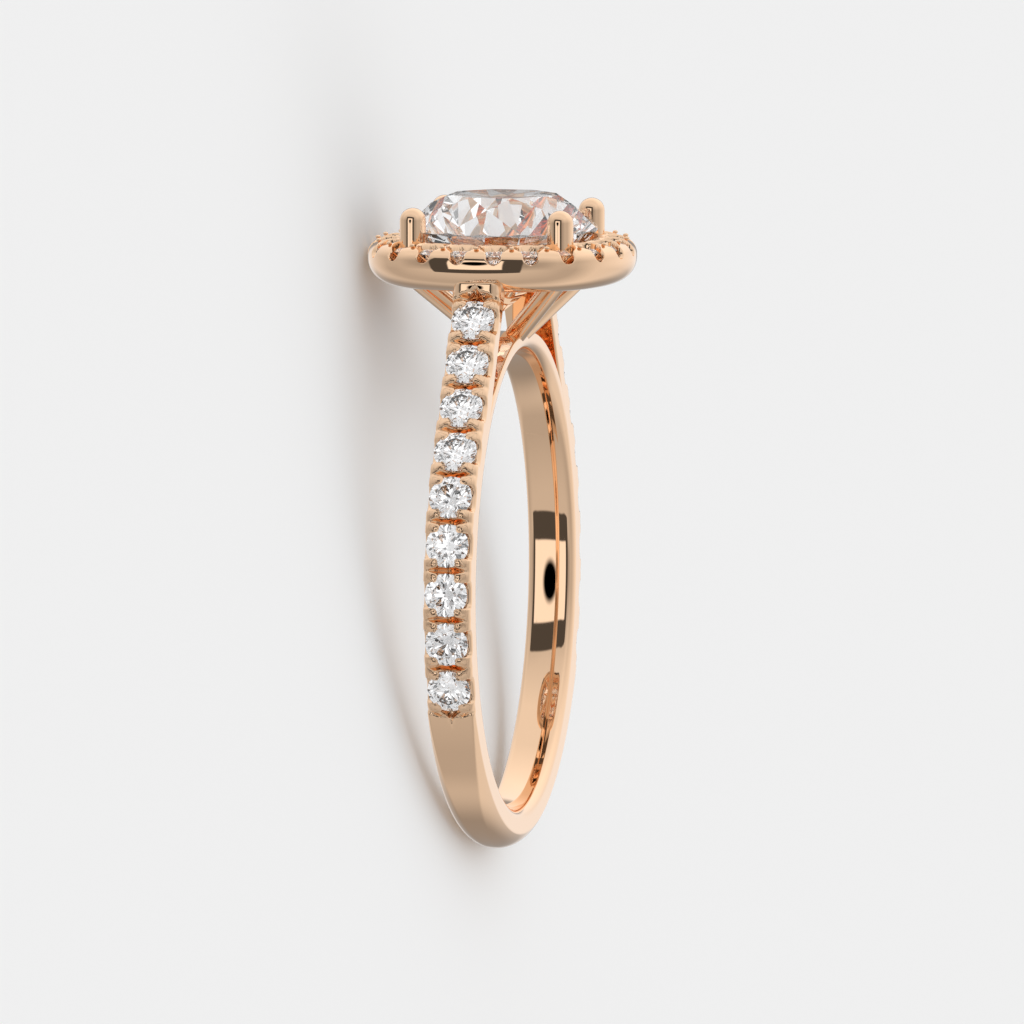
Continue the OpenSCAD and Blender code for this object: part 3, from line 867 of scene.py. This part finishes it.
TURN = np.radians(-12.13)
RISE = np.radians(5.5)
CAMERA_FAR = 1.5
CAMERA_CLIP = (0.1, 10)
SENSOR_MM = 36
PHOTO_PX = 1024
PX_PER_MM = 27.74
RING_MIDDLE_PX = (502.4, 579)
AIM_MM = ((PHOTO_PX / 2 - RING_MIDDLE_PX[0]) / PX_PER_MM,
          (RING_MIDDLE_PX[1] - PHOTO_PX / 2) / PX_PER_MM)

to_camera = np.array([-np.cos(TURN) * np.cos(RISE), np.sin(TURN) * np.cos(RISE), np.sin(RISE)])
right = np.cross(-to_camera, [0, 0, 1.0])
right /= np.linalg.norm(right)
up = np.cross(right, -to_camera)
BACK, RIGHT, UP = (RING_TO_ROW @ v for v in (to_camera, right, up))


def make_camera():
    """Looks along the photo's line of sight at the middle of the photo's frame."""
    data = bpy.data.cameras.new("camera")
    data.sensor_width = SENSOR_MM
    data.lens = SENSOR_MM * CAMERA_FAR / (PHOTO_PX / PX_PER_MM * METRE)
    data.clip_start, data.clip_end = CAMERA_CLIP
    camera = bpy.data.objects.new("camera", data)
    bpy.context.scene.collection.objects.link(camera)
    place = (RIGHT * AIM_MM[0] + UP * AIM_MM[1]) * METRE + BACK * CAMERA_FAR
    turn = Matrix(np.column_stack([RIGHT, UP, BACK]).tolist()).to_4x4()
    camera.matrix_world = Matrix.Translation(place.tolist()) @ turn
    bpy.context.scene.camera = camera


make_camera()

# Studio

FLOOR_HALF = 3.0


def make_floor():
    """A pale floor at the lowest point of the ring, out of sight of mirror reflections."""
    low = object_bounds()[0].z
    mesh = bpy.data.meshes.new("floor")
    signs = ((-1, -1), (1, -1), (1, 1), (-1, 1))
    corners = [(x * FLOOR_HALF, y * FLOOR_HALF, low) for x, y in signs]
    mesh.from_pydata(corners, [], [(0, 1, 2, 3)])
    floor = bpy.data.objects.new("floor", mesh)
    bpy.context.scene.collection.objects.link(floor)
    material, _, shader = new_material("pale_paper")
    shader.inputs["Base Color"].default_value = linear("#F3F3F3")
    shader.inputs["Roughness"].default_value = 0.9
    shader.inputs["Specular IOR Level"].default_value = 0.0
    mesh.materials.append(material)
    floor.visible_glossy = False


# The middle of the square dark frame that the metal mirrors, in degrees round the ring from the
# front and above the horizon, and the middles of two darker patches behind the ring, one low and
# one level with it
STUDIO_TURN = 12.1
STUDIO_RISE = 6.0
LOW_BACK = np.array([0.75, 0.16, -0.642])
FAR_BACK = np.array([0.971, 0.209, 0.12])

# Brightness inside the frame's window and of the frame, of the diffuse light and the backdrop
WINDOW_LIGHT = 1.1
FRAME_LIGHT = 0.08
DIFFUSE_LIGHT = 1.0
BACKDROP = "#EEEEEE"

# How brightness changes: what the ramp reads, where it starts and ends, and its values there.
# What ends in off is an angle in degrees, transmitted is 1 for a ray that comes out of a stone,
# and the others are shares, 1 straight towards a direction. The rows past_ and above_floor go
# from 0 to 1 where one light gives way to the next. The rows wall and floor are brightness, roof
# is added to the wall's, and the rest multiply it.
RAMPS = {
    "past_spot": ("round_off", (8, 13), (0, 1), "SMOOTHSTEP"),
    "past_window": ("square_off", (19.5, 21), (0, 1), "SMOOTHSTEP"),
    "past_frame": ("square_off", (34, 35.5), (0, 1), "SMOOTHSTEP"),
    "round_frame": ("square_off", (38, 65), (0.74, 1.12), "LINEAR"),
    "wall": ("ahead", (-0.9, 0), (0.87, 0.5), "LINEAR"),
    "roof": ("high", (0.1, 0.7), (0, 0.33), "LINEAR"),
    "above_floor": ("high", (-0.3, -0.12), (0, 1), "LINEAR"),
    "floor": ("ahead", (-0.5, 0), (0.8, 0.5), "LINEAR"),
    "near_floor": ("ahead", (0.2, 0.7), (1, 1.25), "LINEAR"),
    "low_back": ("low_back_off", (16, 44), (0.42, 1), "SMOOTHSTEP"),
    "far_back": ("far_back_off", (12, 20), (0.35, 1), "SMOOTHSTEP"),
    "in_stone": ("transmitted", (0, 1), (1, 1.6), "LINEAR"),
}
MULTIPLY = {"operation": "MULTIPLY"}
MAXIMUM = {"operation": "MAXIMUM"}


def light_measures(tree, ray):
    """What the light depends on: how far a ray goes towards each named direction, and its angles
    from the square frame's middle, the black disc's middle and the dark patches."""
    place = add(tree, "ShaderNodeTexCoord").outputs["Generated"]
    turn, rise = np.radians(STUDIO_TURN), np.radians(STUDIO_RISE)
    middle = np.array([-np.cos(turn) * np.cos(rise), np.sin(turn) * np.cos(rise), np.sin(rise)])
    side = np.array([-np.sin(turn), -np.cos(turn), 0])
    lines = {"ahead": middle, "side": side, "over": np.cross(middle, side),
             "high": np.array([0, 0, 1]), "low_back": LOW_BACK, "far_back": FAR_BACK}
    value = {"transmitted": ray.outputs["Is Transmission Ray"]}
    for name, line in lines.items():
        settings = {"operation": "DOT_PRODUCT", 1: (RING_TO_ROW @ line).tolist()}
        value[name] = add(tree, "ShaderNodeVectorMath", settings, {0: place}).outputs["Value"]
    angles = []
    for name in ("side", "over"):
        turned_by = add(tree, "ShaderNodeMath", {"operation": "ARCTAN2"},
                        {0: value[name], 1: value["ahead"]})
        angles.append(add(tree, "ShaderNodeMath", {"operation": "ABSOLUTE"},
                          {0: turned_by.outputs[0]}).outputs[0])
    value["square_off"] = add(tree, "ShaderNodeMath", MAXIMUM,
                              {0: angles[0], 1: angles[1]}).outputs[0]
    for name, line in (("round_off", "ahead"), ("low_back_off", "low_back"),
                       ("far_back_off", "far_back")):
        value[name] = add(tree, "ShaderNodeMath", {"operation": "ARCCOSINE"},
                          {0: value[line]}).outputs[0]
    return value


def light_ramps(tree, value):
    """Adds the ramps and returns what each gives, by its name."""
    ramp = {}
    for name, (reads, span, light, kind) in RAMPS.items():
        low, high = np.radians(span) if reads.endswith("off") else span
        ramp[name] = add(tree, "ShaderNodeMapRange", {
            "interpolation_type": kind, "From Min": low, "From Max": high,
            "To Min": light[0], "To Max": light[1],
        }, {"Value": value[reads]}).outputs["Result"]
    return ramp


def tent_light(tree, value, ramp):
    """The light tent: walls and roof above, a floor below, and two darker patches behind the
    ring, which show in mirror reflections, while rays that come out of a stone skip them."""
    wall = add(tree, "ShaderNodeMath", MULTIPLY, {0: ramp["wall"], 1: ramp["round_frame"]})
    upper = add(tree, "ShaderNodeMath", {"operation": "ADD"},
                {0: wall.outputs[0], 1: ramp["roof"]})
    low_back, far_back = (
        add(tree, "ShaderNodeMath", MAXIMUM, {0: ramp[name], 1: value["transmitted"]}).outputs[0]
        for name in ("low_back", "far_back"))
    floor = add(tree, "ShaderNodeMath", MULTIPLY, {0: ramp["floor"], 1: low_back})
    floor = add(tree, "ShaderNodeMath", MULTIPLY, {0: floor.outputs[0], 1: ramp["near_floor"]})
    tent = add(tree, "ShaderNodeMix", {}, {"Factor": ramp["above_floor"],
                                           "A": floor.outputs[0], "B": upper.outputs[0]})
    return add(tree, "ShaderNodeMath", MULTIPLY, {0: tent.outputs["Result"], 1: far_back})


def make_studio():
    """A light tent as the world: bright behind the ring, grey on the camera's side and below,
    and a square dark frame with a bright window and a black disc, which the metal mirrors. The
    floor gets an even light, and the camera sees a plain backdrop."""
    world = bpy.data.worlds.new("studio")
    bpy.context.scene.world = world
    world.use_nodes = True
    tree = world.node_tree
    tree.nodes.clear()
    ray = add(tree, "ShaderNodeLightPath")
    value = light_measures(tree, ray)
    ramp = light_ramps(tree, value)
    tent = tent_light(tree, value, ramp)
    framed = add(tree, "ShaderNodeMix", {"A": FRAME_LIGHT},
                 {"Factor": ramp["past_frame"], "B": tent.outputs[0]})
    window = add(tree, "ShaderNodeMix", {"A": WINDOW_LIGHT},
                 {"Factor": ramp["past_window"], "B": framed.outputs["Result"]})
    shade = add(tree, "ShaderNodeMath", MULTIPLY,
                {0: window.outputs["Result"], 1: ramp["past_spot"]})
    shade = add(tree, "ShaderNodeMath", MULTIPLY, {0: shade.outputs[0], 1: ramp["in_stone"]})
    white = linear("#FFFFFF")
    lit = add(tree, "ShaderNodeBackground", {"Color": white}, {"Strength": shade.outputs[0]})
    even = add(tree, "ShaderNodeBackground", {"Color": white, "Strength": DIFFUSE_LIGHT})
    plain = add(tree, "ShaderNodeBackground", {"Color": linear(BACKDROP)})
    mix = add(tree, "ShaderNodeMixShader", {}, {0: ray.outputs["Is Diffuse Ray"],
                                               1: lit.outputs[0], 2: even.outputs[0]})
    mix = add(tree, "ShaderNodeMixShader", {}, {0: ray.outputs["Is Camera Ray"],
                                               1: mix.outputs[0], 2: plain.outputs[0]})
    add(tree, "ShaderNodeOutputWorld", {}, {"Surface": mix.outputs[0]})


make_floor()
make_studio()

scene = bpy.context.scene
scene.view_settings.view_transform = "Standard"
scene.cycles.max_bounces = 24
scene.cycles.transmission_bounces = 20
scene.cycles.glossy_bounces = 8
